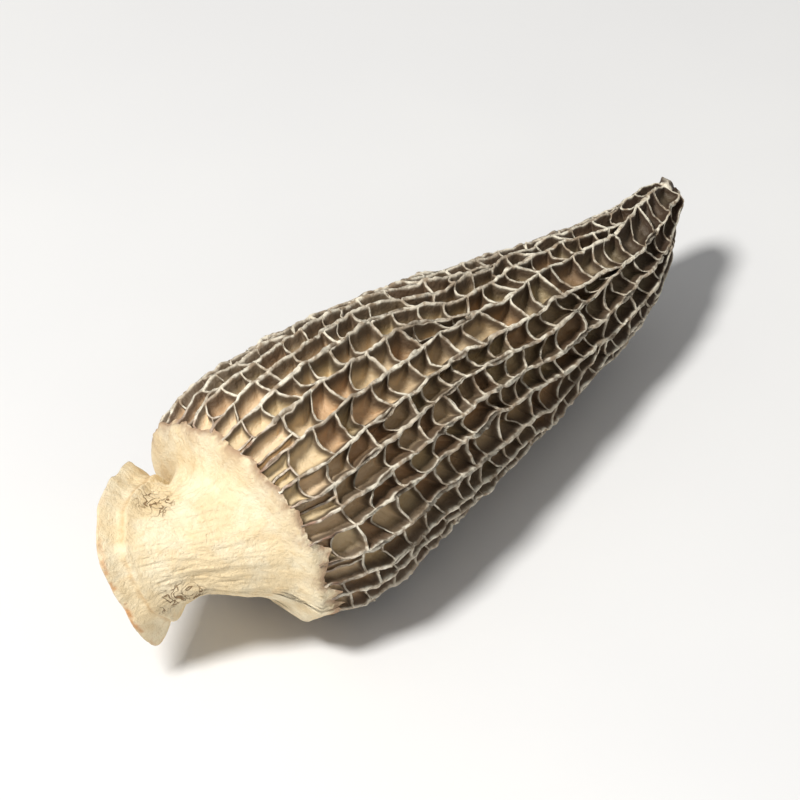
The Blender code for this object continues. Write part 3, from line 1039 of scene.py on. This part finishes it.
def outside_radius(s, angle, top, fold_here):
    """The radius of the stem's outside, with its folds, scratches and torn edge."""
    radius = along(STEM_OUTSIDE, s)
    radius += FOLD_HEIGHT * hump(s - fold_here, FOLD_WIDTH) * (0.8 + 0.6 * around(angle, 9, 2.2))
    radius -= BAND_DEPTH * hump(s - BAND_PLACE, BAND_WIDTH)
    radius += LIP_CURL * max(0.0, s - LIP_PLACE)
    radius += fine_wrinkles(s, angle)
    radius -= SCAR_DEPTH * scar(s, angle) * abs(around(angle, 60, s / 0.0003))
    over_ring = max(0.0, 1 - max(0.0, s) / 0.0016) * flap(angle)
    radius += over_ring * (FLAP_LIFT + 0.0007 * around(angle, 40, s / 0.001))
    crumple = max(0.0, 1 - (turned(angle, CRUMPLE_ANGLE) / CRUMPLE_HALF) ** 2)
    crumple *= max(0.0, 1 - abs(s - top) / CRUMPLE_LENGTH)
    radius += crumple * CRUMPLE_HEIGHT * around(angle, 46, s / 0.0006)
    return radius + 0.00016 * noise.noise(
        Vector((5 * math.cos(angle), 5 * math.sin(angle), s / 0.0016))
    )


def tube_faces(rows, sides):
    """The faces between the points of a tube's rows."""
    faces = []
    for row in range(rows - 1):
        for side in range(sides):
            here, there = row * sides, (row + 1) * sides
            after = (side + 1) % sides
            faces.append((here + side, here + after, there + after, there + side))
    return faces


stem_points = []
stem_facts = {"inside": [], "burn": [], "scar": [], "torn": [], "crease": []}
for row in range(STEM_ROWS):
    share = row / (STEM_ROWS - 1)
    outside = min(1.0, share / OUTSIDE_ROWS)
    inside = max(0.0, (share - OUTSIDE_ROWS) / (1 - OUTSIDE_ROWS))
    for side in range(STEM_SIDES):
        angle = 2 * math.pi * side / STEM_SIDES
        foot = STEM_LENGTH + 0.00022 * around(angle, 4, 1.7) + 0.00008 * around(angle, 23, 5.2)
        fold_here = FOLD_PLACE + FOLD_SWAY * around(angle, 5, 7.3)
        top = -torn_edge(angle)
        if inside == 0.0:
            s = top + (foot - top) * outside ** ROW_CROWDING
            radius = outside_radius(s, angle, top, fold_here)
        else:
            s = foot * (1 - inside)
            radius = along(STEM_HOLLOW, s) + INSIDE_ROUGHNESS * around(angle, 14, s / 0.003)
            radius = min(radius, along(STEM_OUTSIDE, s) - WALL_AT_LEAST)
        point = stem_point(s, angle, radius)
        stem_points.append((point.x, point.y, max(0.0, point.z)))
        burn = hump(foot - s - BURN_INSET, BURN_WIDTH) * hump(turned(angle, BURN_ANGLE), BURN_HALF)
        stem_facts["inside"].append(min(1.0, inside * 40))
        stem_facts["burn"].append(burn)
        stem_facts["scar"].append(scar(s, angle))
        stem_facts["torn"].append(hump(s - top, TORN_WIDTH))
        stem_facts["crease"].append(hump(s - fold_here - CREASE_BELOW_FOLD, CREASE_WIDTH))

# Cream flesh with straw-coloured clouds, brown scratches above the foot's fold, a line of orange
# brown along the low side of the cut, and a browned edge at the ring
STRAW = (0.82, 0.66, 0.41)
CREAM = (0.88, 0.77, 0.55)
FIBRE_TAN = (0.66, 0.48, 0.25)
BLOTCH_TAN = (0.80, 0.57, 0.30)
SCAR_TAN = (0.62, 0.43, 0.20)
SCRATCH_BROWN = (0.24, 0.135, 0.055)
TORN_BROWN = (0.38, 0.235, 0.14)
BURN_ORANGE = (0.60, 0.27, 0.09)
CREASE_TAN = (0.58, 0.38, 0.18)
INSIDE_TAN = (0.60, 0.40, 0.22)

stem_finish = Finish("dry stem flesh")
within = stem_finish.attribute("inside")
scarred = stem_finish.attribute("scar")
fibres = stem_finish.grain(0.0009, 5.0, 0.65, warp=0.6)
mealiness = stem_finish.grain(0.00028, 3.0, 0.6)
blotches = stem_finish.grain(0.0030, 3.0, 0.6)
clouds = stem_finish.grain(0.0035, 3.0)
stem_colour = stem_finish.mix(clouds.step(0.35, 0.68), STRAW, CREAM)
stem_colour = stem_finish.mix(fibres.step(0.48, 0.76) * 0.55, stem_colour, FIBRE_TAN)
stem_colour = stem_finish.mix(blotches.step(0.56, 0.74) * 0.40, stem_colour, BLOTCH_TAN)
# A scratch runs where the grain passes its middle value
off_middle = (stem_finish.grain(0.0017, 1.0, 0.5, warp=1.6) - 0.5).size()
scratches = (1 - off_middle.step(0.014, 0.048)) * scarred
stem_colour = stem_finish.mix(scarred * 0.45, stem_colour, SCAR_TAN)
dark_scratches = scratches.step(0.15, 0.6) * blotches.step(0.32, 0.46)
stem_colour = stem_finish.mix(dark_scratches * 0.9, stem_colour, SCRATCH_BROWN)
browned = stem_finish.attribute("torn") * stem_finish.grain(0.0012).step(0.26, 0.52)
stem_colour = stem_finish.mix(browned * 0.9, stem_colour, TORN_BROWN)
burnt = stem_finish.attribute("burn") * stem_finish.grain(0.0020, 2.0).step(0.38, 0.54)
stem_colour = stem_finish.mix(burnt, stem_colour, BURN_ORANGE)
creased = stem_finish.attribute("crease") * stem_finish.grain(0.0016).step(0.30, 0.56)
stem_colour = stem_finish.mix(creased * 0.65, stem_colour, CREASE_TAN)
stem_colour = stem_finish.mix(within * 0.75, stem_colour, INSIDE_TAN)
stem_finish.connect(stem_finish.shader, {
    "Base Color": stem_colour,
    "Roughness": 0.80 + 0.15 * (fibres - 0.5),
    "Normal": stem_finish.relief(fibres + 0.5 * mealiness - 0.8 * scratches, 0.00026),
})
stem_faces = tube_faces(STEM_ROWS, STEM_SIDES)
make_piece("stem.flesh", stem_points, stem_faces, stem_facts, stem_finish, "stem")


# The hollow
# The cap is empty from the ring almost to the tip. Its inner skin is pale and mealy, and shows
# only through the open foot.

# (distance from the ring, radius)
CAP_HOLLOW = (
    (0.0, 0.0072),
    (0.003, 0.0097),
    (0.008, 0.0114),
    (0.017, 0.0113),
    (0.029, 0.0100),
    (0.042, 0.0084),
    (0.053, 0.0066),
    (0.064, 0.0050),
    (0.071, 0.0034),
    (0.0745, 0.0012),
)
HOLLOW_SIDES = 72
HOLLOW_ROWS = 60
# The inner skin starts as far out as the cap's wall reaches at the ring
HOLLOW_RIM = 0.0122
HOLLOW_DRIFTS = ((0.004, 0.0003), (0.0012, 0.00012))
DARK_MEAL = (0.50, 0.36, 0.21)
PALE_MEAL = (0.74, 0.61, 0.42)

hollow_points = []
for row in range(HOLLOW_ROWS):
    x = CAP_HOLLOW[-1][0] * max(0, row - 1) / (HOLLOW_ROWS - 2)
    for side in range(HOLLOW_SIDES):
        angle = 2 * math.pi * side / HOLLOW_SIDES
        if row == 0:
            point = cap_point(JOINT_GAP / 2, angle, ((0.0, HOLLOW_RIM), (1.0, HOLLOW_RIM)))
        else:
            point = cap_point(max(x, JOINT_GAP / 2), angle, CAP_HOLLOW)
            point += sum((wander(point, *drift) for drift in HOLLOW_DRIFTS), Vector())
        hollow_points.append(tuple(point))
hollow_faces = tube_faces(HOLLOW_ROWS, HOLLOW_SIDES)
hollow_faces.append(tuple((HOLLOW_ROWS - 1) * HOLLOW_SIDES + side for side in range(HOLLOW_SIDES)))

hollow_finish = Finish("mealy inner skin")
meal = hollow_finish.grain(0.0006, 4.0, 0.65)
lumps = (meal + 0.6 * hollow_finish.grain(0.005)).step(0.6, 1.0)
hollow_finish.connect(hollow_finish.shader, {
    "Base Color": hollow_finish.mix(lumps, DARK_MEAL, PALE_MEAL),
    "Roughness": 0.85 + 0.1 * (meal - 0.5),
    "Normal": hollow_finish.relief(meal, 0.0002),
})
make_piece("cap.hollow", hollow_points, hollow_faces, {}, hollow_finish, "cap")
